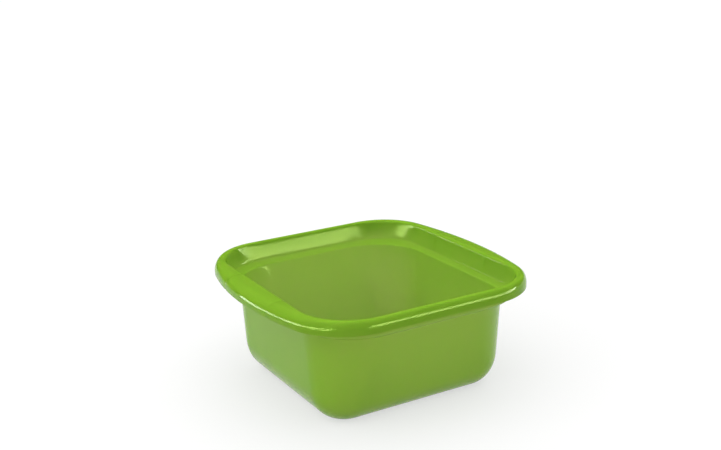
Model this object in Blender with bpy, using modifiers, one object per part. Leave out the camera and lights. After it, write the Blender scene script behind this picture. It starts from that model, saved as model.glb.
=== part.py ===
"""Square washing-up bowl, moulded in one piece.

The bowl stands on the XY plane with its foot ring, +Z up, and its middle is on
the Z axis. X runs across the two grips, Y across the two straight sides.
The skin that faces the water is lofted through rounded square outlines, from the
middle of the floor up the wall and over the rim to the edge of the lip. A
Solidify modifier then gives it its wall on the outer side, and two ribs under
each grip are joined to it.
"""

import math

import bmesh
import bpy

# Lengths are in metres.
MM = 0.001

# The whole bowl
LENGTH_X = 320.0 * MM
LENGTH_Y = 322.0 * MM
HEIGHT = 138.5 * MM
WALL = 1.8 * MM

# The rim's outline, seen from above
GRIP_BOW_RADIUS = 435.0 * MM
RIM_CORNER_RADIUS = 76.0 * MM

# The lip, which rolls over from the crest of the rim
ROLL_WIDTH_AT_GRIP = 15.0 * MM
ROLL_WIDTH_AT_SIDE = 6.0 * MM
ROLL_DROP = 12.0 * MM
CREST_CORNER_RADIUS = 60.0 * MM
CREST_BOW_RADIUS = 650.0 * MM
LIP_SKIRT = 3.7 * MM

# The neck, which rounds the collar over into the flange
NECK_WIDTH_AT_GRIP = 4.0 * MM
NECK_WIDTH_AT_SIDE = 2.6 * MM
NECK_DROP = 3.0 * MM

# The collar, which stands on the ledge, and how far the rim reaches past its foot
GRIP_REACH = 31.7 * MM
SIDE_REACH = 13.5 * MM
COLLAR_CORNER_RADIUS = 56.5 * MM
COLLAR_DEPTH = 22.9 * MM
COLLAR_DRAFT = 4.6 * MM

# The ledge between the wall and the collar
LEDGE_WIDTH = 6.4 * MM
LEDGE_DROP = 4.2 * MM
LEDGE_CORNER_RADIUS = 67.0 * MM
LEDGE_EDGE_ROUND = 1.2 * MM

# The wall's outward lean, and the wide rounding between it and the floor
WALL_LEAN_X = 3.5 * MM
WALL_LEAN_Y = 21.7 * MM
FLOOR_CORNER_RADIUS = 9.3 * MM
FLOOR_ROUND_WIDTH = 31.2 * MM
FLOOR_ROUND_HEIGHT = 38.6 * MM

# The raised floor panel, inside the foot ring
FOOT_RING_WIDTH = 3.0 * MM
PANEL_LIFT = 1.5 * MM
PANEL_STEP_WIDTH = 1.4 * MM
PANEL_CORNER_RADIUS = 10.0 * MM

# The two ribs under each grip, set in from the lip's corners, and the shallow
# sink mark that each one leaves above
RIB_TO_CORNER = 31.5 * MM
RIB_THICKNESS = 1.6 * MM
SINK_WIDTH = 3.0 * MM
SINK_DEPTH = 0.35 * MM

# Counts of faces along an outline's quarter, and up the section
BETWEEN_RIBS_COUNT = 3
BESIDE_RIB_COUNT = 2
CORNER_COUNT = 8
SIDE_COUNT = 3
FLOOR_ROUND_COUNT = 7
WALL_COUNT = 3
NECK_COUNT = 3
ROLL_COUNT = 6

# The four quarters of an outline, counter-clockwise, as signs of X and Y
QUARTERS = ((1, 1), (-1, 1), (-1, -1), (1, -1))

GREEN = (0.231, 0.407, 0.037, 1.0)
GLOSS_ROUGHNESS = 0.2
SMOOTH_ANGLE = math.radians(40.0)

LIP_HEIGHT = HEIGHT - ROLL_DROP - LIP_SKIRT
COLLAR_HEIGHT = HEIGHT - COLLAR_DEPTH
LEDGE_HEIGHT = COLLAR_HEIGHT - LEDGE_DROP
COLLAR_FOOT_X = LENGTH_X - 2 * GRIP_REACH
COLLAR_FOOT_Y = LENGTH_Y - 2 * SIDE_REACH
LEDGE_X = COLLAR_FOOT_X - 2 * LEDGE_WIDTH
LEDGE_Y = COLLAR_FOOT_Y - 2 * LEDGE_WIDTH
FLOOR_X = LEDGE_X - 2 * (WALL_LEAN_X + FLOOR_ROUND_WIDTH)
FLOOR_Y = LEDGE_Y - 2 * (WALL_LEAN_Y + FLOOR_ROUND_WIDTH)
RIB_SPACING = LENGTH_Y - 2 * (RIM_CORNER_RADIUS + RIB_TO_CORNER)


def spread(start, end, count):
    """The places after start that cut the way to end into equal steps."""
    return [start + (end - start) * step / count for step in range(1, count + 1)]


class Ring:
    """One level outline of the skin: a square with round corners and, at the
    rim, bowed grip sides. sink_out and sink_up shift the point over each rib,
    which gives the sink mark."""

    def __init__(self, length_x, length_y, corner, height, bow=None, sink_out=0.0, sink_up=0.0):
        self.half_x = length_x / 2
        self.half_y = length_y / 2
        self.corner = corner
        self.height = height
        self.bow = bow
        self.sink_out = sink_out
        self.sink_up = sink_up

    def grip_x(self, y):
        """X of the grip side at this y."""
        if self.bow is None:
            return self.half_x
        return self.half_x - self.bow + math.sqrt(self.bow ** 2 - y ** 2)

    def corner_arc(self):
        """The corner's centre, and the angle at which its arc leaves the grip side."""
        centre_y = self.half_y - self.corner
        if self.bow is None:
            return self.half_x - self.corner, centre_y, 0.0
        reach = math.sqrt((self.bow - self.corner) ** 2 - centre_y ** 2)
        return self.half_x - self.bow + reach, centre_y, math.atan2(centre_y, reach)

    def quarter(self):
        """Points from the X axis to just short of the Y axis."""
        centre_x, centre_y, start = self.corner_arc()
        corner_y = centre_y + self.corner * math.sin(start)
        rib_y = RIB_SPACING / 2
        before_rib = rib_y - SINK_WIDTH / 2
        after_rib = rib_y + SINK_WIDTH / 2
        points = []
        for y in [0.0] + spread(0.0, before_rib, BETWEEN_RIBS_COUNT):
            points.append((self.grip_x(y), y, self.height))
        points.append((self.grip_x(rib_y) + self.sink_out, rib_y, self.height + self.sink_up))
        for y in [after_rib] + spread(after_rib, corner_y, BESIDE_RIB_COUNT):
            points.append((self.grip_x(y), y, self.height))
        for angle in spread(start, math.pi / 2, CORNER_COUNT):
            x = centre_x + self.corner * math.cos(angle)
            points.append((x, centre_y + self.corner * math.sin(angle), self.height))
        for x in spread(centre_x, 0.0, SIDE_COUNT):
            points.append((x, self.half_y, self.height))
        return points

    def points(self):
        """The whole outline, counter-clockwise, each point once."""
        loop = []
        for sign_x, sign_y in QUARTERS:
            quarter = self.quarter()
            if sign_x * sign_y < 0:
                quarter.reverse()
            loop += [(sign_x * x, sign_y * y, z) for x, y, z in quarter[:-1]]
        return loop


def wall_size(height, at_floor, at_ledge, round_width):
    """A size of the wall's outline at this height. It leaves the floor's size
    on an elliptic rounding and meets the ledge's size on the tangent to it."""
    round_top = WALL + FLOOR_ROUND_HEIGHT
    across = (at_ledge - at_floor) / round_width
    up = (LEDGE_HEIGHT - round_top) / FLOOR_ROUND_HEIGHT
    touch = math.atan2(up, across) - math.acos(1 / math.hypot(across, up))
    touch_height = round_top + FLOOR_ROUND_HEIGHT * math.sin(touch)
    touch_size = at_floor + round_width * math.cos(touch)
    if height > touch_height:
        share = (height - touch_height) / (LEDGE_HEIGHT - touch_height)
        return touch_size + (at_ledge - touch_size) * share
    drop = min((round_top - height) / FLOOR_ROUND_HEIGHT, 1)
    return at_floor + round_width * math.sqrt(1 - drop ** 2)


def floor_rings():
    """The raised panel and the foot ring round it."""
    panel_x = FLOOR_X - 2 * FOOT_RING_WIDTH
    panel_y = FLOOR_Y - 2 * FOOT_RING_WIDTH
    top_x = panel_x - 2 * PANEL_STEP_WIDTH
    top_y = panel_y - 2 * PANEL_STEP_WIDTH
    top_corner = PANEL_CORNER_RADIUS - PANEL_STEP_WIDTH
    return [
        Ring(top_x, top_y, top_corner, WALL + PANEL_LIFT),
        Ring(panel_x, panel_y, PANEL_CORNER_RADIUS, WALL),
    ]


def wall_ring(height):
    """The outline of the rounding and the wall at this height."""
    return Ring(
        wall_size(height, FLOOR_X, LEDGE_X, 2 * FLOOR_ROUND_WIDTH),
        wall_size(height, FLOOR_Y, LEDGE_Y, 2 * FLOOR_ROUND_WIDTH),
        wall_size(height, FLOOR_CORNER_RADIUS, LEDGE_CORNER_RADIUS, FLOOR_ROUND_WIDTH),
        height,
    )


def wall_rings():
    """The rounding from the foot ring, then the drafted wall up to the ledge."""
    heights = [WALL]
    for angle in spread(0.0, math.pi / 2, FLOOR_ROUND_COUNT):
        heights.append(WALL + FLOOR_ROUND_HEIGHT * (1.0 - math.cos(angle)))
    heights += spread(heights[-1], LEDGE_HEIGHT - LEDGE_EDGE_ROUND, WALL_COUNT)
    return [wall_ring(height) for height in heights]


def ledge_rings():
    """The ledge, from its rounded inner edge out to the foot of the collar."""
    share = LEDGE_EDGE_ROUND / LEDGE_WIDTH
    inner = Ring(
        LEDGE_X + (COLLAR_FOOT_X - LEDGE_X) * share,
        LEDGE_Y + (COLLAR_FOOT_Y - LEDGE_Y) * share,
        LEDGE_CORNER_RADIUS + (COLLAR_CORNER_RADIUS - LEDGE_CORNER_RADIUS) * share,
        LEDGE_HEIGHT + LEDGE_DROP * share,
    )
    outer = Ring(
        COLLAR_FOOT_X, COLLAR_FOOT_Y, COLLAR_CORNER_RADIUS, COLLAR_HEIGHT, sink_out=SINK_DEPTH
    )
    return [inner, outer]


def neck_rings():
    """The collar's top, and its rounding into the level flange."""
    rings = []
    for angle in [0.0] + spread(0.0, math.pi / 2, NECK_COUNT):
        out = 1.0 - math.cos(angle)
        rings.append(Ring(
            COLLAR_FOOT_X + 2 * (COLLAR_DRAFT + NECK_WIDTH_AT_GRIP * out),
            COLLAR_FOOT_Y + 2 * (COLLAR_DRAFT + NECK_WIDTH_AT_SIDE * out),
            COLLAR_CORNER_RADIUS + COLLAR_DRAFT + NECK_WIDTH_AT_SIDE * out,
            HEIGHT - NECK_DROP * (1.0 - math.sin(angle)),
            sink_out=SINK_DEPTH * math.cos(angle),
            sink_up=-SINK_DEPTH * math.sin(angle),
        ))
    return rings


def roll_rings():
    """The crest of the rim, and its roll outwards and down."""
    rings = []
    for angle in [0.0] + spread(0.0, math.pi / 2, ROLL_COUNT):
        left = 1.0 - math.sin(angle)
        rings.append(Ring(
            LENGTH_X - 2 * ROLL_WIDTH_AT_GRIP * left,
            LENGTH_Y - 2 * ROLL_WIDTH_AT_SIDE * left,
            RIM_CORNER_RADIUS - (RIM_CORNER_RADIUS - CREST_CORNER_RADIUS) * left,
            HEIGHT - ROLL_DROP * (1.0 - math.cos(angle)),
            bow=GRIP_BOW_RADIUS + (CREST_BOW_RADIUS - GRIP_BOW_RADIUS) * left,
            sink_out=-SINK_DEPTH * math.sin(angle),
            sink_up=-SINK_DEPTH * math.cos(angle),
        ))
    return rings


def lip_ring():
    """The level edge in which the lip ends."""
    return Ring(
        LENGTH_X,
        LENGTH_Y,
        RIM_CORNER_RADIUS,
        LIP_HEIGHT,
        bow=GRIP_BOW_RADIUS,
        sink_out=-SINK_DEPTH,
    )


def loft(mesh, rings):
    """Fill the first outline, and join each outline to the next with quads."""
    skin = bmesh.new()
    loops = [[skin.verts.new(point) for point in ring.points()] for ring in rings]
    skin.faces.new(loops[0])
    for inner, outer in zip(loops, loops[1:]):
        for here in range(len(inner)):
            after = (here + 1) % len(inner)
            skin.faces.new((inner[here], outer[here], outer[after], inner[after]))
    skin.to_mesh(mesh)
    skin.free()


def level_rests(bowl):
    """Make the foot ring and the edge of the lip exactly level."""
    for vertex in bowl.data.vertices:
        if abs(vertex.co.z) < WALL / 4:
            vertex.co.z = 0.0
        if abs(vertex.co.z - LIP_HEIGHT) < WALL / 4:
            vertex.co.z = LIP_HEIGHT


def rib_outline():
    """The rib's outline in X and Z. It runs in the middle of the wall from the
    collar's foot over the flange to the lip, and back on a slant below."""
    rib_y = RIB_SPACING / 2
    middle = WALL / 2
    foot = Ring(COLLAR_FOOT_X, COLLAR_FOOT_Y, COLLAR_CORNER_RADIUS, COLLAR_HEIGHT)
    points = [(foot.grip_x(rib_y) + middle, foot.height)]
    for ring in neck_rings():
        points.append((ring.grip_x(rib_y) + middle, ring.height - middle))
    for ring in roll_rings():
        points.append((ring.grip_x(rib_y) - middle, ring.height - middle))
    return points


def make_ribs(collection):
    """Two ribs under each grip, as flat plates."""
    ribs = []
    for sign_x in (1, -1):
        for sign_y in (1, -1):
            mesh = bpy.data.meshes.new("rib")
            plate = bmesh.new()
            start_y = (RIB_SPACING - RIB_THICKNESS) / 2
            corners = [plate.verts.new((sign_x * x, sign_y * start_y, z)) for x, z in rib_outline()]
            face = plate.faces.new(corners)
            grown = bmesh.ops.extrude_face_region(plate, geom=[face])
            moved = [item for item in grown["geom"] if isinstance(item, bmesh.types.BMVert)]
            bmesh.ops.translate(plate, verts=moved, vec=(0.0, sign_y * RIB_THICKNESS, 0.0))
            bmesh.ops.recalc_face_normals(plate, faces=plate.faces)
            plate.to_mesh(mesh)
            plate.free()
            rib = bpy.data.objects.new("rib", mesh)
            rib.hide_render = True
            rib.display_type = "WIRE"
            collection.objects.link(rib)
            ribs.append(rib)
    return ribs


def polypropylene():
    """Glossy green polypropylene, as it comes out of a polished mould."""
    material = bpy.data.materials.new("green_polypropylene")
    material.use_nodes = True
    shader = material.node_tree.nodes["Principled BSDF"]
    shader.inputs["Base Color"].default_value = GREEN
    shader.inputs["Roughness"].default_value = GLOSS_ROUGHNESS
    shader.inputs["Metallic"].default_value = 0.0
    return material


def make_bowl(collection, ribs):
    """The bowl: the lofted skin, thickened outwards, joined with its ribs."""
    mesh = bpy.data.meshes.new("bowl")
    loft(mesh, floor_rings() + wall_rings() + ledge_rings() + neck_rings() + roll_rings() + [lip_ring()])
    mesh.materials.append(polypropylene())
    bowl = bpy.data.objects.new("bowl", mesh)
    collection.objects.link(bowl)
    solidify = bowl.modifiers.new("wall", "SOLIDIFY")
    solidify.thickness = WALL
    solidify.offset = -1.0
    solidify.use_even_offset = True
    bpy.context.view_layer.update()
    shell = bpy.data.meshes.new_from_object(bowl.evaluated_get(bpy.context.evaluated_depsgraph_get()))
    bowl.modifiers.clear()
    bowl.data = shell
    level_rests(bowl)
    shell.shade_smooth()
    shell.set_sharp_from_angle(angle=SMOOTH_ANGLE)
    for rib in ribs:
        union = bowl.modifiers.new("rib", "BOOLEAN")
        union.operation = "UNION"
        union.object = rib


def main():
    for old in list(bpy.data.objects):
        bpy.data.objects.remove(old, do_unlink=True)
    collection = bpy.data.collections.new("square_bowl")
    bpy.context.scene.collection.children.link(collection)
    plates = bpy.data.collections.new("rib_plates")
    bpy.context.scene.collection.children.link(plates)
    make_bowl(collection, make_ribs(plates))


main()
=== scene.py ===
"""Square washing-up bowl in glossy green polypropylene, with its studio.

The bowl is one moulding. It stands on the XY plane with +Z up and its middle on
the Z axis. X runs across the two grips and Y across the two straight sides.
"""

import math
from typing import NamedTuple

import bmesh
import bpy
from mathutils import Matrix, Vector


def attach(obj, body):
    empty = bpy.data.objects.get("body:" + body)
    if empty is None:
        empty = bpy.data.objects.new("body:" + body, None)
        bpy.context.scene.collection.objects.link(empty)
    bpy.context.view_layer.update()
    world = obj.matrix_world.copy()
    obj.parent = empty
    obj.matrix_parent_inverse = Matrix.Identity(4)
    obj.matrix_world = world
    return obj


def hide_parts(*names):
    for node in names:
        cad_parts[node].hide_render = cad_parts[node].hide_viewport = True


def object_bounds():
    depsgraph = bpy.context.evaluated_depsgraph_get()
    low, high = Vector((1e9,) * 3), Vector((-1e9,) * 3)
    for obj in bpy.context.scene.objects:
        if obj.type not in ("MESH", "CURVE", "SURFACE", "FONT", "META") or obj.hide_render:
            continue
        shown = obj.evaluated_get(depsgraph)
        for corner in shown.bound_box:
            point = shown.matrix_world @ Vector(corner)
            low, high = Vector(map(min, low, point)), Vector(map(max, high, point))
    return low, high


bl_info = {
    "name": "Square Bowl",
    "version": (1, 0, 0),
    "blender": (4, 5, 0),
    "location": "3D View > Sidebar > Square Bowl",
    "description": "Builds a square washing-up bowl and a plain studio round it",
    "category": "Add Mesh",
}

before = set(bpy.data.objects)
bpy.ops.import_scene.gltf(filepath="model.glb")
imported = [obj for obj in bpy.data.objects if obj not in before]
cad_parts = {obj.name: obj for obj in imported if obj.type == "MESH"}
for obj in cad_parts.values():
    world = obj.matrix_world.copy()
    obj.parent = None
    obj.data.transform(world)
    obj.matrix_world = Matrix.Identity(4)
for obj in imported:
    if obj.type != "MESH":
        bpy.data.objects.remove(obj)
CAD_LOW, CAD_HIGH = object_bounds()

BODY = "root"
NODE = "bowl"

# One millimetre in metres
MM = 0.001

# The photograph's width in pixels, and that of the camera's film in millimetres
PHOTO_WIDTH = 721
FILM_WIDTH = 36.0

# Counts of faces along a quarter of an outline
BETWEEN_RIBS_COUNT = 8
RIB_COUNT = 4
BESIDE_RIB_COUNT = 5
CORNER_COUNT = 20
SIDE_COUNT = 8

# Counts of steps up the section, the last one over each small rounding
ROUNDING_COUNT = 18
WALL_COUNT = 10
COLLAR_COUNT = 6
FLANGE_COUNT = 3
ROLL_COUNT = 16
SKIRT_COUNT = 3
EDGE_COUNT = 5

# Counts of faces over the lip's rounded edges and round the gate mark
LIP_ROUND_COUNT = 3
GATE_COUNT = 32

# The four quarters of an outline, counter-clockwise, as signs of X and Y
QUARTERS = ((1, 1), (-1, 1), (-1, -1), (1, -1))

# Edges flatter than the first angle are shaded smooth. At the lip's lower edge,
# those sharper than the second are rounded
SMOOTH_ANGLE = math.radians(35.0)
LIP_EDGE_ANGLE = math.radians(60.0)

# How far off its level a vertex may be, as shares of the wall and the lip's rounding
LEVEL_SHARE = 1 / 4
LIP_LEVEL_SHARE = 1 / 8

# The gate mark's rim and its hollow, as shares of its radius and its depth
GATE_RIM_SHARE = 1 / 3
GATE_HOLLOW_SHARE = 1 / 2

# The plastic's index of refraction
POLYPROPYLENE_IOR = 1.49

# How far red, green and blue light soak in, as shares of the soak depth
SOAK_BY_COLOUR = (1.2, 1.0, 1.1)

# The noise of the pigment's streaks and of the mould's polishing ripple
STREAK_NOISE = {"Detail": 3.0, "Roughness": 0.45}
RIPPLE_NOISE = {"Detail": 1.0, "Roughness": 0.4}

# The least and the most dullness over the ripple, as shares of the roughness
CLEAREST = 0.8
DULLEST = 1.2

# Each reflection card: where it starts and ends, in degrees from -Y towards +X,
# and its share of the cards' full light
CARDS = (
    ("right_card", 4.0, 72.0, 1.0),
    ("left_card", -127.0, -47.0, 1.0),
    ("rear_card", -148.0, -127.0, 0.5),
)


def length(name, description, default):
    """A length that the user can change."""
    return bpy.props.FloatProperty(
        name=name, description=description, default=default, min=0.0, unit="LENGTH", precision=4
    )


def angle(name, description, degrees):
    """An angle that the user can change."""
    return bpy.props.FloatProperty(
        name=name, description=description, default=math.radians(degrees), unit="ROTATION"
    )


def share(name, description, default):
    """A share from 0 to 1 that the user can change."""
    return bpy.props.FloatProperty(
        name=name, description=description, default=default, min=0.0, max=1.0, subtype="FACTOR"
    )


def radiance(name, description, default):
    """A strength of light, where 1 shows a white surface as just white."""
    return bpy.props.FloatProperty(name=name, description=description, default=default, min=0.0)


def linear(hex_colour):
    """The linear colour of a hex value such as 76A328, by sRGB's own curve."""
    channels = []
    for start in (0, 2, 4):
        value = int(hex_colour[start:start + 2], 16) / 255
        channels.append(value / 12.92 if value <= 0.04045 else ((value + 0.055) / 1.055) ** 2.4)
    return tuple(channels)


def colour(name, description, hex_colour):
    """A colour that the user can change."""
    return bpy.props.FloatVectorProperty(
        name=name,
        description=description,
        default=linear(hex_colour),
        size=3,
        min=0.0,
        max=1.0,
        subtype="COLOR",
    )


class BowlSizes(bpy.types.PropertyGroup):
    """Sizes of the bowl. The overall ones come from the frame."""

    length_x: length("Length across grips", "Overall length along X", CAD_HIGH.x - CAD_LOW.x)
    length_y: length("Length across sides", "Overall length along Y", CAD_HIGH.y - CAD_LOW.y)
    height: length("Height", "Overall height", CAD_HIGH.z)
    wall: length("Wall", "Thickness of the plastic", 1.8 * MM)
    grip_bow: length("Grip bow radius", "Radius of a grip's bowed edge", 435 * MM)
    rim_corner: length("Rim corner radius", "Radius of the lip's corners", 76 * MM)
    roll_at_grip: length("Roll width at grip", "How far the roll reaches out at a grip", 15 * MM)
    roll_at_side: length("Roll width at side", "How far the roll reaches out at a side", 6 * MM)
    roll_drop: length("Roll drop", "How far the roll comes down", 12 * MM)
    crest_corner: length("Crest corner radius", "Radius of the crest's corners", 60 * MM)
    crest_bow: length("Crest bow radius", "Radius of the crest's bow at a grip", 650 * MM)
    skirt: length("Skirt", "Upright stretch below the roll", 3.7 * MM)
    neck_at_grip: length("Neck width at grip", "Reach of the rounding into the flange", 4 * MM)
    neck_at_side: length("Neck width at side", "Reach of the rounding into the flange", 2.6 * MM)
    neck_drop: length("Neck drop", "Height of the rounding into the flange", 3 * MM)
    grip_reach: length("Grip reach", "From the collar's foot out to the grip's edge", 31.7 * MM)
    side_reach: length("Side reach", "From the collar's foot out to the side's edge", 13.5 * MM)
    collar_corner: length("Collar corner radius", "Radius of the collar's corners", 56.5 * MM)
    collar_depth: length("Collar depth", "From the crest down to the collar's foot", 22.9 * MM)
    collar_draft: length("Collar draft", "How far the collar leans out", 4.6 * MM)
    collar_round: length("Collar foot rounding", "Length of the rounding at its foot", 1.6 * MM)
    ledge_width: length("Ledge width", "Width of the ledge under the collar", 6.4 * MM)
    ledge_drop: length("Ledge drop", "Fall of the ledge towards the middle", 4.2 * MM)
    ledge_corner: length("Ledge corner radius", "Radius of its inner corners", 67 * MM)
    ledge_round: length("Ledge rounding", "Length of the rounding at its inner edge", 2.2 * MM)
    lean_x: length("Wall lean X", "Lean of the wall on a grip side", 3.5 * MM)
    lean_y: length("Wall lean Y", "Lean of the wall on a straight side", 21.7 * MM)
    floor_corner: length("Floor corner radius", "Radius of the floor's corners", 9.3 * MM)
    rounding_width: length("Rounding width", "Width of the floor's rounding", 31.2 * MM)
    rounding_height: length("Rounding height", "Height of the floor's rounding", 38.6 * MM)
    foot_width: length("Foot ring width", "Width of the ring that the bowl stands on", 3 * MM)
    panel_lift: length("Panel lift", "Height of the floor's raised panel", 1.5 * MM)
    panel_step: length("Panel step", "Width of the panel's slanted edge", 1.4 * MM)
    panel_corner: length("Panel corner radius", "Radius of the panel's corners", 10 * MM)
    panel_round: length("Panel rounding", "Length of the roundings at its edge", 0.5 * MM)
    rib_spacing: length("Rib spacing", "Distance between a grip's two ribs", 107 * MM)
    rib_thickness: length("Rib thickness", "Thickness of a rib", 1.6 * MM)
    sink_width: length("Sink mark width", "Width of the hollow over a rib", 7 * MM)
    sink_depth: length("Sink mark depth", "Depth of the hollow over a rib", 0.35 * MM)
    lip_round: length("Lip rounding", "Rounding of the lip's lower edges", 0.4 * MM)
    gate_radius: length("Gate mark radius", "Radius of the moulding gate's stub", 2.5 * MM)
    gate_depth: length("Gate mark depth", "How far the stub stands out", 0.5 * MM)


class PlasticLook(bpy.types.PropertyGroup):
    """Colours and finish of the plastic."""

    green: colour("Green", "Colour of the plastic", "76A328")
    deep_green: colour("Deep green", "Colour where the pigment is denser", "73A026")
    gleam: colour("Gleam", "Tint of the highlights", "DCFF80")
    gloss: share("Gloss", "How strongly the surface mirrors", 0.15)
    roughness: share("Roughness", "How dull the polished mould leaves it", 0.085)
    milkiness: share("Milkiness", "How much of the light soaks into the wall", 1.0)
    soak_depth: length("Soak depth", "How far light soaks into the wall", 10 * MM)
    pigment: length("Pigment streaks", "Size of the pigment's soft streaks", 45 * MM)
    ripple: length("Ripple", "Spacing of the mould's polishing ripple", 30 * MM)
    ripple_height: length("Ripple height", "Height of the polishing ripple", 0.004 * MM)


class StudioLook(bpy.types.PropertyGroup):
    """Camera, floor and lights."""

    eye: bpy.props.FloatVectorProperty(
        name="Eye",
        description="Where the camera stands",
        default=(-0.6069, -1.0608, 0.5509),
        size=3,
        subtype="TRANSLATION",
        unit="LENGTH",
    )
    azimuth: angle("Azimuth", "The camera's turn from +Y towards +X", 29.55)
    fall: angle("Fall", "How far the camera looks down", 16.63)
    roll: angle("Roll", "The camera's turn about its own line of sight", -1.89)
    focal_pixels: bpy.props.FloatProperty(
        name="Focal length",
        description="Focal length in pixels of the frame",
        default=1099.8,
        subtype="PIXEL",
    )
    floor_size: length("Floor size", "Length of the floor's side", 40.0)
    floor_colour: colour("Floor colour", "Colour of the floor", "9C9C9C")
    floor_glow: share("Floor glow", "Light that the floor seems to give off", 0.6)
    air: colour("Air", "Colour of the light from all round", "FFFFFF")
    air_low: radiance("Air at horizon", "Light from all round, level with the floor", 0.85)
    air_high: radiance("Air overhead", "Light from straight above", 1.48)
    card_distance: length("Card distance", "From the bowl to the reflection cards", 2.5)
    card_light: radiance("Card light", "Light of the reflection cards", 26.0)
    card_low: angle("Card lower edge", "The cards' lower edge over the floor", 0.2)
    card_high: angle("Card upper edge", "The cards' upper edge over the floor", 10.5)
    fill_light: radiance("Fill light", "Strength of the soft light from the left", 1.4)
    fill_distance: length("Fill distance", "From the bowl to the fill light", 2.5)
    fill_size: length("Fill size", "Length of the fill light's side", 1.6)
    fill_bearing: angle("Fill bearing", "The fill light's turn from -Y towards +X", -90.0)
    fill_rise: angle("Fill rise", "The fill light's height over the floor", 30.0)


class Station(NamedTuple):
    """One step of the bowl's section, as the level outline that it runs through:
    a box of x by y with round corners, its grip sides bowed by curve, which is
    one over their radius. Over a rib the outline is pushed by out and up."""

    x: float
    y: float
    corner: float
    height: float
    curve: float = 0.0
    out: float = 0.0
    up: float = 0.0

    def towards(self, other, part):
        """The station that lies this part of the way to the other one."""
        return Station(*[a + (b - a) * part for a, b in zip(self, other)])

    def gap(self, other):
        """The distance to the other station, on the section over the X axis."""
        return math.hypot((self.x - other.x) / 2, self.height - other.height)


def spread(start, end, count):
    """The places after start that cut the way to end into equal steps."""
    return [start + (end - start) * step / count for step in range(1, count + 1)]


def rounded(before, corner, after, reach):
    """Stations that round the section's corner between its two neighbours."""
    start = corner.towards(before, reach / before.gap(corner))
    end = corner.towards(after, reach / after.gap(corner))
    stations = [start]
    for part in spread(0.0, 1.0, EDGE_COUNT):
        stations.append(start.towards(corner, part).towards(corner.towards(end, part), part))
    return stations


def wall_size(height, at_floor, at_ledge, round_width, low, round_height, high):
    """A size of the wall's outline at this height: an elliptic rounding up from
    the floor's size, then its tangent to the ledge's size."""
    round_top = low + round_height
    across = (at_ledge - at_floor) / round_width
    up = (high - round_top) / round_height
    touch = math.atan2(up, across) - math.acos(1 / math.hypot(across, up))
    touch_height = round_top + round_height * math.sin(touch)
    touch_size = at_floor + round_width * math.cos(touch)
    if height > touch_height:
        climbed, climb = height - touch_height, high - touch_height
        return touch_size + (at_ledge - touch_size) * climbed / climb
    drop = min((round_top - height) / round_height, 1)
    return at_floor + round_width * math.sqrt(1 - drop ** 2)


def basin(sizes, foot):
    """The stations from the floor's panel to the ledge, and the ledge's own corner."""
    s = sizes
    ledge_x = foot.x - 2 * s.ledge_width
    ledge_y = foot.y - 2 * s.ledge_width
    floor_x = ledge_x - 2 * (s.lean_x + s.rounding_width)
    floor_y = ledge_y - 2 * (s.lean_y + s.rounding_width)
    ledge_height = foot.height - s.ledge_drop

    def wall(height):
        fixed = (s.wall, s.rounding_height, ledge_height)
        return Station(
            wall_size(height, floor_x, ledge_x, 2 * s.rounding_width, *fixed),
            wall_size(height, floor_y, ledge_y, 2 * s.rounding_width, *fixed),
            wall_size(height, s.floor_corner, s.ledge_corner, s.rounding_width, *fixed),
            height,
        )

    ring = 2 * s.foot_width
    step = 2 * s.panel_step
    panel_foot = Station(floor_x - ring, floor_y - ring, s.panel_corner, s.wall)
    panel_top = Station(
        panel_foot.x - step,
        panel_foot.y - step,
        panel_foot.corner - s.panel_step,
        s.wall + s.panel_lift,
    )
    panel_middle = Station(
        panel_top.x - ring,
        panel_top.y - ring,
        panel_top.corner - s.foot_width / 2,
        panel_top.height,
    )
    floor_edge = wall(s.wall)
    stations = [panel_middle]
    stations += rounded(panel_middle, panel_top, panel_foot, s.panel_round)
    stations += rounded(panel_top, panel_foot, floor_edge, s.panel_round)
    stations.append(floor_edge)

    heights = []
    for turn in spread(0.0, math.pi / 2, ROUNDING_COUNT):
        heights.append(s.wall + s.rounding_height * (1 - math.cos(turn)))
    heights += spread(heights[-1], ledge_height, WALL_COUNT)
    stations += [wall(height) for height in heights[:-1]]
    ledge = wall(ledge_height)
    stations += rounded(wall(heights[-2]), ledge, foot, s.ledge_round / 2)
    return stations, ledge


def collar(sizes, ledge, foot):
    """The stations from the collar's foot up to its neck and out to the flange."""
    s = sizes
    draft = 2 * s.collar_draft
    top = Station(
        foot.x + draft,
        foot.y + draft,
        foot.corner + s.collar_draft,
        s.height - s.neck_drop,
        out=s.sink_depth,
    )
    stations = rounded(ledge, foot, top, s.collar_round)
    last = stations[-1]
    stations += [last.towards(top, part) for part in spread(0.0, 1.0, COLLAR_COUNT)[:-1]]

    lean = s.neck_drop * (s.collar_draft / (s.collar_depth - s.neck_drop))
    neck = Station(
        top.x + 2 * lean,
        top.y + 2 * lean,
        top.corner + lean,
        s.height,
        out=s.sink_depth / 2,
        up=-s.sink_depth / 2,
    )
    flange = Station(
        top.x + 2 * s.neck_at_grip,
        top.y + 2 * s.neck_at_side,
        top.corner + s.neck_at_side,
        s.height,
        up=-s.sink_depth,
    )
    for part in [0.0] + spread(0.0, 1.0, 2 * EDGE_COUNT):
        stations.append(top.towards(neck, part).towards(neck.towards(flange, part), part))
    return stations


def lip_roll(sizes):
    """The stations over the lip's roll, from the crest to the top of the skirt."""
    s = sizes
    stations = []
    for turn in [0.0] + spread(0.0, math.pi / 2, ROLL_COUNT):
        left = 1 - math.sin(turn)
        stations.append(Station(
            s.length_x - 2 * s.roll_at_grip * left,
            s.length_y - 2 * s.roll_at_side * left,
            s.rim_corner - (s.rim_corner - s.crest_corner) * left,
            s.height - s.roll_drop * (1 - math.cos(turn)),
            1 / s.grip_bow + (1 / s.crest_bow - 1 / s.grip_bow) * left,
            out=-s.sink_depth * math.sin(turn),
            up=-s.sink_depth * math.cos(turn),
        ))
    return stations


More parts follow.
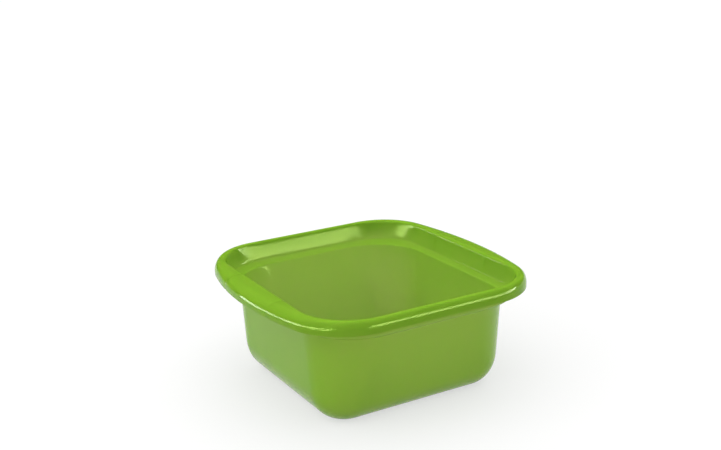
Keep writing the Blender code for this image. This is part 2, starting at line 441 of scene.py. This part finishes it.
def lip_height(sizes):
    """The height of the lip's lower edge."""
    return sizes.height - sizes.roll_drop - sizes.skirt


def section(sizes):
    """The bowl's section on the water side, from the floor's panel to the lip."""
    s = sizes
    foot = Station(
        s.length_x - 2 * s.grip_reach,
        s.length_y - 2 * s.side_reach,
        s.collar_corner,
        s.height - s.collar_depth,
    )
    lip = Station(
        s.length_x, s.length_y, s.rim_corner, lip_height(s), 1 / s.grip_bow, out=-s.sink_depth
    )
    over = lip_roll(s)
    stations, ledge = basin(s, foot)
    stations += collar(s, ledge, foot)
    last = stations[-1]
    stations += [last.towards(over[0], part) for part in spread(0.0, 1.0, FLANGE_COUNT)[:-1]]
    stations += over
    stations += [over[-1].towards(lip, part) for part in spread(0.0, 1.0, SKIRT_COUNT)]
    return stations


def grip_x(station, y):
    """X of a station's grip side at this y."""
    if station.curve == 0.0:
        return station.x / 2
    return station.x / 2 - (1 - math.sqrt(1 - (station.curve * y) ** 2)) / station.curve


def quarter(station, sizes):
    """A quarter of a station's outline, from the X axis to the Y axis. Over a rib
    it sinks and comes back in one smooth step."""
    x, y, corner, height, curve, out, up = station
    middle_y = y / 2 - corner
    if curve == 0.0:
        middle_x, start = x / 2 - corner, 0.0
    else:
        bow = 1 / curve
        reach = math.sqrt((bow - corner) ** 2 - middle_y ** 2)
        middle_x, start = x / 2 - bow + reach, math.atan2(middle_y, reach)
    corner_y = middle_y + corner * math.sin(start)
    rib_y = sizes.rib_spacing / 2
    half = sizes.sink_width / 2
    rows = [0.0] + spread(0.0, rib_y - half, BETWEEN_RIBS_COUNT)
    rows += spread(rib_y - half, rib_y + half, 2 * RIB_COUNT)
    rows += spread(rib_y + half, corner_y, BESIDE_RIB_COUNT)
    points = []
    for row in rows:
        sink = max(0.0, 1 - abs(row - rib_y) / half)
        sink = sink * sink * (3 - 2 * sink)
        points.append(Vector((grip_x(station, row) + out * sink, row, height + up * sink)))
    for turn in spread(start, math.pi / 2, CORNER_COUNT):
        point = (middle_x + corner * math.cos(turn), middle_y + corner * math.sin(turn), height)
        points.append(Vector(point))
    for column in spread(middle_x, 0.0, SIDE_COUNT):
        points.append(Vector((column, y / 2, height)))
    return points


def outline(station, sizes):
    """A station's whole outline, counter-clockwise, each point once."""
    first = quarter(station, sizes)
    points = []
    for sign_x, sign_y in QUARTERS:
        run = first if sign_x * sign_y > 0 else first[::-1]
        points += [Vector((sign_x * p.x, sign_y * p.y, p.z)) for p in run[:-1]]
    return points


def select_none():
    """Leave edit mode, with no object selected."""
    if bpy.context.object and bpy.context.object.mode != "OBJECT":
        bpy.ops.object.mode_set(mode="OBJECT")
    bpy.ops.object.select_all(action="DESELECT")


def activate(piece):
    """Make this the one selected and active object."""
    select_none()
    piece.select_set(True)
    bpy.context.view_layer.objects.active = piece


def move_selected(mesh, points):
    """In edit mode, put each selected vertex on its own point of an outline."""
    cage = bmesh.from_edit_mesh(mesh)
    place = cage.verts.layers.int["place"]
    for vertex in cage.verts:
        if vertex.select:
            vertex.co = points[vertex[place]]
    bmesh.update_edit_mesh(mesh)


def outline_face(name, points):
    """A filled circle whose vertices are put on an outline, in edit mode."""
    select_none()
    bpy.ops.mesh.primitive_circle_add(vertices=len(points), radius=1.0, fill_type="NGON")
    piece = bpy.context.object
    piece.name = name
    bpy.ops.object.mode_set(mode="EDIT")
    bpy.ops.mesh.select_mode(type="EDGE")
    bpy.ops.mesh.select_all(action="SELECT")
    cage = bmesh.from_edit_mesh(piece.data)
    place = cage.verts.layers.int.new("place")
    for vertex in cage.verts:
        vertex[place] = vertex.index
    bmesh.update_edit_mesh(piece.data)
    move_selected(piece.data, points)
    return piece


def apply_modifier(piece, name, kind, **settings):
    """Add a modifier with these settings and apply it."""
    activate(piece)
    modifier = piece.modifiers.new(name, kind)
    for setting, value in settings.items():
        setattr(modifier, setting, value)
    bpy.ops.object.modifier_apply(modifier=name)


def join_solid(piece, tool):
    """Join a solid to the piece with a Boolean union, and remove it."""
    apply_modifier(piece, "union", "BOOLEAN", operation="UNION", object=tool, solver="EXACT")
    mesh = tool.data
    bpy.data.objects.remove(tool)
    bpy.data.meshes.remove(mesh)


def extruded_shell(sizes):
    """The bowl's wall: outlines extruded one from the other, then thickened."""
    outlines = [outline(station, sizes) for station in section(sizes)]
    shell = outline_face("bowl_moulding", outlines[0])
    for points in outlines[1:]:
        bpy.ops.mesh.extrude_edges_move()
        move_selected(shell.data, points)
    bpy.ops.mesh.select_all(action="SELECT")
    bpy.ops.mesh.normals_make_consistent(inside=False)
    cage = bmesh.from_edit_mesh(shell.data)
    floor_face = max(cage.faces, key=lambda face: len(face.verts))
    if floor_face.normal.z < 0:
        bpy.ops.mesh.flip_normals()
    bpy.ops.object.mode_set(mode="OBJECT")
    apply_modifier(
        shell, "wall", "SOLIDIFY", thickness=sizes.wall, offset=-1.0, use_even_offset=True
    )
    return shell


def finish_edges(shell, sizes):
    """Level the foot ring and the lip, and round the lip's lower edges."""
    bottom = lip_height(sizes)
    for level in (0.0, bottom):
        for vertex in shell.data.vertices:
            if abs(vertex.co.z - level) < sizes.wall * LEVEL_SHARE:
                vertex.co.z = level
    activate(shell)
    bpy.ops.object.mode_set(mode="EDIT")
    bpy.ops.mesh.select_mode(type="EDGE")
    bpy.ops.mesh.select_all(action="DESELECT")
    cage = bmesh.from_edit_mesh(shell.data)
    slack = sizes.lip_round * LIP_LEVEL_SHARE
    for edge in cage.edges:
        at_lip = all(abs(vertex.co.z - bottom) < slack for vertex in edge.verts)
        if at_lip and edge.calc_face_angle(0.0) > LIP_EDGE_ANGLE:
            edge.select = True
    bmesh.update_edit_mesh(shell.data)
    bpy.ops.mesh.bevel(offset=sizes.lip_round, segments=LIP_ROUND_COUNT)
    bpy.ops.object.mode_set(mode="OBJECT")


def rib(sizes):
    """One grip rib, a flat plate in the middle of the wall from the collar's
    foot over the flange to the lip, and back on a slant below."""
    s = sizes
    rib_y = s.rib_spacing / 2
    middle = s.wall / 2
    foot_x = (s.length_x - 2 * s.grip_reach) / 2
    over = [
        Vector((foot_x + middle, 0.0, s.height - s.collar_depth)),
        Vector((foot_x + s.collar_draft + middle, 0.0, s.height - s.neck_drop - middle)),
        Vector((foot_x + s.collar_draft + s.neck_at_grip, 0.0, s.height - middle)),
    ]
    for station in lip_roll(s):
        over.append(Vector((grip_x(station, rib_y) - middle, 0.0, station.height - middle)))
    start = rib_y - s.rib_thickness / 2
    plate = outline_face("rib", [point + Vector((0.0, start, 0.0)) for point in over])
    bpy.ops.mesh.extrude_region_move(TRANSFORM_OT_translate={"value": (0.0, s.rib_thickness, 0.0)})
    bpy.ops.mesh.select_all(action="SELECT")
    bpy.ops.mesh.normals_make_consistent(inside=False)
    bpy.ops.object.mode_set(mode="OBJECT")
    return plate


def mirrored(plate, sign_x, sign_y):
    """A copy of the rib with its own mesh, in another quarter."""
    copy = plate.copy()
    copy.data = plate.data.copy()
    bpy.context.scene.collection.objects.link(copy)
    copy.data.transform(Matrix.Diagonal((sign_x, sign_y, 1.0, 1.0)))
    if sign_x * sign_y < 0:
        copy.data.flip_normals()
    return copy


def gate_mark(sizes):
    """The stub where the plastic entered the mould, in the middle of the recess. Its
    top reaches halfway into the wall, and its foot has a shallow hollow."""
    select_none()
    depth = sizes.gate_depth + sizes.wall / 2
    height = sizes.panel_lift - sizes.gate_depth + depth / 2
    bpy.ops.mesh.primitive_cylinder_add(
        vertices=GATE_COUNT, radius=sizes.gate_radius, depth=depth, location=(0.0, 0.0, height)
    )
    stub = bpy.context.object
    bpy.ops.object.transform_apply(location=True, rotation=False, scale=False)
    bpy.ops.object.mode_set(mode="EDIT")
    bpy.ops.mesh.select_mode(type="FACE")
    bpy.ops.mesh.select_all(action="DESELECT")
    cage = bmesh.from_edit_mesh(stub.data)
    lowest = min(cage.faces, key=lambda face: face.calc_center_median().z)
    lowest.select = True
    bmesh.update_edit_mesh(stub.data)
    bpy.ops.mesh.inset(
        thickness=sizes.gate_radius * GATE_RIM_SHARE,
        depth=-sizes.gate_depth * GATE_HOLLOW_SHARE,
    )
    bpy.ops.object.mode_set(mode="OBJECT")
    return stub


def add_node(tree, kind, inputs=None, **settings):
    """Add a node. inputs gives each socket a value or another node's output."""
    node = tree.nodes.new(kind)
    for setting, value in settings.items():
        setattr(node, setting, value)
    for socket, value in (inputs or {}).items():
        if isinstance(value, bpy.types.NodeSocket):
            tree.links.new(value, node.inputs[socket])
        else:
            node.inputs[socket].default_value = value
    return node


def moulded_polypropylene(look):
    """Polypropylene, injection-moulded against a polished steel mould. The eye
    sees an even, slightly milky green, because light soaks through the thin wall
    and lights the inside too. Over it lie faint pigment streaks and a clear
    gloss, whose highlights waver a little where the mould was polished."""
    material = bpy.data.materials.new("moulded_polypropylene")
    material.use_nodes = True
    tree = material.node_tree
    shader = tree.nodes["Principled BSDF"]
    place = add_node(tree, "ShaderNodeTexCoord").outputs["Object"]
    streaks = add_node(
        tree, "ShaderNodeTexNoise", {"Vector": place, "Scale": 1 / look.pigment, **STREAK_NOISE}
    )
    pigment = add_node(
        tree,
        "ShaderNodeMix",
        {"Factor": streaks.outputs["Fac"], "A": (*look.deep_green, 1.0), "B": (*look.green, 1.0)},
        data_type="RGBA",
    )
    tree.links.new(pigment.outputs["Result"], shader.inputs["Base Color"])
    ripple = add_node(
        tree, "ShaderNodeTexNoise", {"Vector": place, "Scale": 1 / look.ripple, **RIPPLE_NOISE}
    )
    dullness = add_node(
        tree,
        "ShaderNodeMapRange",
        {
            "Value": ripple.outputs["Fac"],
            "To Min": look.roughness * CLEAREST,
            "To Max": look.roughness * DULLEST,
        },
    )
    tree.links.new(dullness.outputs["Result"], shader.inputs["Roughness"])
    relief = add_node(
        tree,
        "ShaderNodeBump",
        {"Height": ripple.outputs["Fac"], "Distance": look.ripple_height, "Strength": 1.0},
    )
    tree.links.new(relief.outputs["Normal"], shader.inputs["Normal"])
    shader.inputs["IOR"].default_value = POLYPROPYLENE_IOR
    shader.inputs["Specular IOR Level"].default_value = look.gloss
    shader.inputs["Specular Tint"].default_value = (*look.gleam, 1.0)
    shader.inputs["Subsurface Weight"].default_value = look.milkiness
    shader.inputs["Subsurface Radius"].default_value = SOAK_BY_COLOUR
    shader.inputs["Subsurface Scale"].default_value = look.soak_depth
    return material


def seen_white(name, paint, glow):
    """Matt studio board of this paint. Seen directly or in a reflection it glows
    too, so that it reads as white paper and still keeps a soft shadow."""
    material = bpy.data.materials.new(name)
    material.use_nodes = True
    tree = material.node_tree
    tree.nodes.clear()
    matt = add_node(tree, "ShaderNodeBsdfDiffuse", {"Color": (*paint, 1.0)})
    light_path = add_node(tree, "ShaderNodeLightPath")
    seen = add_node(
        tree,
        "ShaderNodeMath",
        {0: light_path.outputs["Is Camera Ray"], 1: light_path.outputs["Is Glossy Ray"]},
        operation="ADD",
    )
    seen = add_node(
        tree,
        "ShaderNodeMath",
        {0: seen.outputs[0], 1: light_path.outputs["Is Transmission Ray"]},
        operation="ADD",
        use_clamp=True,
    )
    strength = add_node(
        tree, "ShaderNodeMath", {0: seen.outputs[0], 1: glow}, operation="MULTIPLY"
    )
    lit = add_node(tree, "ShaderNodeEmission", {"Strength": strength.outputs[0]})
    both = add_node(tree, "ShaderNodeAddShader", {0: matt.outputs[0], 1: lit.outputs[0]})
    add_node(tree, "ShaderNodeOutputMaterial", {"Surface": both.outputs[0]})
    return material


def panel_light(name, bearing, distance, height, tilt, size, brightness):
    """A flat light that faces the bowl. bearing turns from -Y towards +X, and
    tilt is how far it faces down. Its watts are its brightness times pi times its
    area, so that a brightness of 1 looks just white."""
    light = bpy.data.lights.new(name, "AREA")
    light.shape = "RECTANGLE"
    light.size, light.size_y = size
    light.energy = brightness * math.pi * light.size * light.size_y
    holder = bpy.data.objects.new(name, light)
    bpy.context.scene.collection.objects.link(holder)
    holder.location = (distance * math.sin(bearing), -distance * math.cos(bearing), height)
    holder.rotation_euler = (math.pi / 2 - tilt, 0.0, bearing)
    return holder


def reflection_card(look, name, start, end, part):
    """A bright card between two bearings, low over the floor. It shows only in
    the gloss, as the long highlights on the collar and the rim."""
    start, end = math.radians(start), math.radians(end)
    bottom = look.card_distance * math.tan(look.card_low)
    top = look.card_distance * math.tan(look.card_high)
    size = (2 * look.card_distance * math.tan((end - start) / 2), top - bottom)
    bearing, middle = (start + end) / 2, (bottom + top) / 2
    brightness = part * look.card_light
    card = panel_light(name, bearing, look.card_distance, middle, 0.0, size, brightness)
    card.visible_diffuse = False


def fill_light(look):
    """A soft light from the left that lifts the left wall and the inside. It
    doesn't show in the gloss."""
    distance = look.fill_distance * math.cos(look.fill_rise)
    height = look.fill_distance * math.sin(look.fill_rise)
    size = (look.fill_size, look.fill_size)
    bearing, tilt = look.fill_bearing, look.fill_rise
    fill = panel_light("fill", bearing, distance, height, tilt, size, look.fill_light)
    fill.visible_glossy = False


def soft_air(scene, look):
    """A world that is dimmer at the horizon than overhead, like a light tent. The
    gloss doesn't show it, so that only the floor and the cards mirror."""
    world = bpy.data.worlds.new("air")
    scene.world = world
    world.use_nodes = True
    tree = world.node_tree
    sight = add_node(tree, "ShaderNodeTexCoord").outputs["Generated"]
    rise = add_node(tree, "ShaderNodeSeparateXYZ", {"Vector": sight}).outputs["Z"]
    strength = add_node(
        tree, "ShaderNodeMapRange", {"Value": rise, "To Min": look.air_low, "To Max": look.air_high}
    )
    background = tree.nodes["Background"]
    background.inputs["Color"].default_value = (*look.air, 1.0)
    tree.links.new(strength.outputs["Result"], background.inputs["Strength"])
    world.cycles_visibility.glossy = False


def photo_camera(look):
    """The camera at the photograph's viewing angle, with its framing."""
    camera = bpy.data.cameras.new("camera")
    camera.sensor_width = FILM_WIDTH
    camera.lens = FILM_WIDTH * look.focal_pixels / PHOTO_WIDTH
    holder = bpy.data.objects.new("camera", camera)
    bpy.context.scene.collection.objects.link(holder)
    turn = Matrix.Rotation(-look.azimuth, 4, "Z")
    tip = Matrix.Rotation(math.pi / 2 - look.fall, 4, "X")
    roll = Matrix.Rotation(look.roll, 4, "Z")
    holder.matrix_world = Matrix.Translation(look.eye) @ turn @ tip @ roll
    return holder


class BowlOperator(bpy.types.Operator):
    """Model the bowl as one moulding, with its ribs and gate mark"""

    bl_idname = "square_bowl.bowl"
    bl_label = "Bowl"

    def execute(self, context):
        sizes = context.scene.square_bowl_sizes
        shell = extruded_shell(sizes)
        finish_edges(shell, sizes)
        first = rib(sizes)
        ribs = [first] + [mirrored(first, *signs) for signs in QUARTERS[1:]]
        for plate in ribs:
            join_solid(shell, plate)
        join_solid(shell, gate_mark(sizes))
        if not shell.data.polygons:
            raise RuntimeError("the bowl has no faces")
        shell.data.materials.clear()
        shell.data.materials.append(moulded_polypropylene(context.scene.square_bowl_plastic))
        activate(shell)
        bpy.ops.object.shade_smooth_by_angle(angle=SMOOTH_ANGLE)
        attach(shell, BODY)
        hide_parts(NODE)
        return {"FINISHED"}


class StageOperator(bpy.types.Operator):
    """Set up the floor, the lights, the world and the camera"""

    bl_idname = "square_bowl.stage"
    bl_label = "Stage"

    def execute(self, context):
        look = context.scene.square_bowl_studio
        select_none()
        bpy.ops.mesh.primitive_plane_add(size=look.floor_size)
        floor = bpy.context.object
        floor.name = "floor"
        floor.data.materials.append(seen_white("studio_board", look.floor_colour, look.floor_glow))

        for card in CARDS:
            reflection_card(look, *card)
        fill_light(look)
        soft_air(context.scene, look)

        context.scene.camera = photo_camera(look)
        context.scene.view_settings.view_transform = "Standard"
        return {"FINISHED"}


class BowlPanel(bpy.types.Panel):
    """Lists the bowl, the stage, and what can be changed in them."""

    bl_idname = "VIEW3D_PT_square_bowl"
    bl_label = "Square Bowl"
    bl_space_type = "VIEW_3D"
    bl_region_type = "UI"
    bl_category = "Square Bowl"

    def draw(self, context):
        scene = context.scene
        for step in STEPS:
            self.layout.operator(step.bl_idname)
        for group in (scene.square_bowl_plastic, scene.square_bowl_sizes, scene.square_bowl_studio):
            column = self.layout.column()
            for name in group.__annotations__:
                column.prop(group, name)


STEPS = (BowlOperator, StageOperator)
CLASSES = (BowlSizes, PlasticLook, StudioLook, BowlOperator, StageOperator, BowlPanel)


def register():
    for entry in CLASSES:
        bpy.utils.register_class(entry)
    bpy.types.Scene.square_bowl_sizes = bpy.props.PointerProperty(type=BowlSizes)
    bpy.types.Scene.square_bowl_plastic = bpy.props.PointerProperty(type=PlasticLook)
    bpy.types.Scene.square_bowl_studio = bpy.props.PointerProperty(type=StudioLook)


def unregister():
    del bpy.types.Scene.square_bowl_studio
    del bpy.types.Scene.square_bowl_plastic
    del bpy.types.Scene.square_bowl_sizes
    for entry in reversed(CLASSES):
        bpy.utils.unregister_class(entry)


def main():
    register()
    bpy.ops.square_bowl.bowl()
    bpy.ops.square_bowl.stage()


if __name__ == "__main__":
    main()
